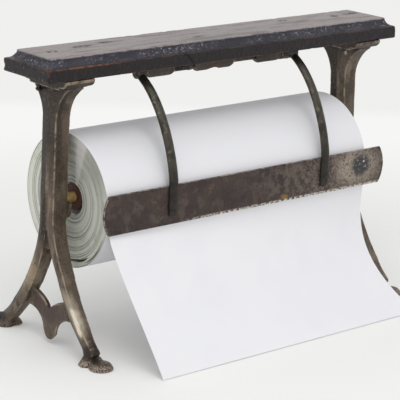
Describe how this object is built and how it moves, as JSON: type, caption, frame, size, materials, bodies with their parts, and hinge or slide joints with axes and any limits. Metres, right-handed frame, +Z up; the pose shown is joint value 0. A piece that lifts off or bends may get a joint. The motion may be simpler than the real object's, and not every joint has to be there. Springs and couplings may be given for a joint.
{
  "type": "wrapping paper dispenser",
  "caption": "Antique counter-top wrapping paper dispenser: moulded wooden board on cast-iron stands, paper roll on a mandrel and a sprung cutter bar on curved arms",
  "frame": {"origin": "middle of the footprint, on the counter: halfway along the board, and halfway between the sheet's front edge and the rear feet", "axes": "+X along the board to the right seen from the front, -Y towards the side the paper comes out of, +Z up"},
  "size_m": [0.508, 0.2692, 0.3272],
  "materials": {
    "board_wood": "old dark varnish, worn at the arrises",
    "cast_iron": "browned cast iron, rubbed bright on the ridges",
    "screw_steel": "darkened steel",
    "worn_steel": "darkened bright-rubbed steel",
    "bar_steel": "pitted and stained steel",
    "spring_steel": "spring steel wire",
    "mandrel_wood": "reddish-brown turned wood",
    "journal_brass": "dull worn brass",
    "paper": "matt white wrapping paper"
  },
  "bodies": {
    "root": {"board": "board_wood", "stand_left": "cast_iron", "stand_right": "cast_iron", "stand_screws_left": "screw_steel", "stand_screws_right": "screw_steel", "hinge_plate": "cast_iron", "hinge_plate_screws": "screw_steel", "return_spring": "spring_steel", "paper_sheet": "paper"},
    "cutter": {"pivot_rod": "worn_steel", "arm_left": "worn_steel", "arm_right": "worn_steel", "arm_pins": "worn_steel", "cutter_bar": "bar_steel", "cutter_rivets": "worn_steel", "spring_collar": "worn_steel"},
    "roll": {"paper_roll": "paper"},
    "spindle": {"mandrel": "mandrel_wood", "journal_left": "journal_brass", "journal_right": "journal_brass"}
  },
  "joints": [
    {"name": "roll_spin", "type": "hinge", "parent": "root", "child": "roll", "pos_m": [0, 0.02685, 0.1606], "axis": [1, 0, 0], "continuous": true},
    {"name": "mandrel_spin", "type": "hinge", "parent": "root", "child": "spindle", "pos_m": [0, 0.0255, 0.1635], "axis": [1, 0, 0], "continuous": true},
    {"name": "cutter_swing", "type": "hinge", "parent": "root", "child": "cutter", "pos_m": [0, 0.0115, 0.295], "axis": [-1, 0, 0], "range_deg": [0, 45], "stiffness_Nm_per_rad": 0.3, "springref_deg": -45.84}
  ],
  "couplings": [
    {"joint": "mandrel_spin", "follows": "roll_spin", "ratio": 1.2333}
  ]
}
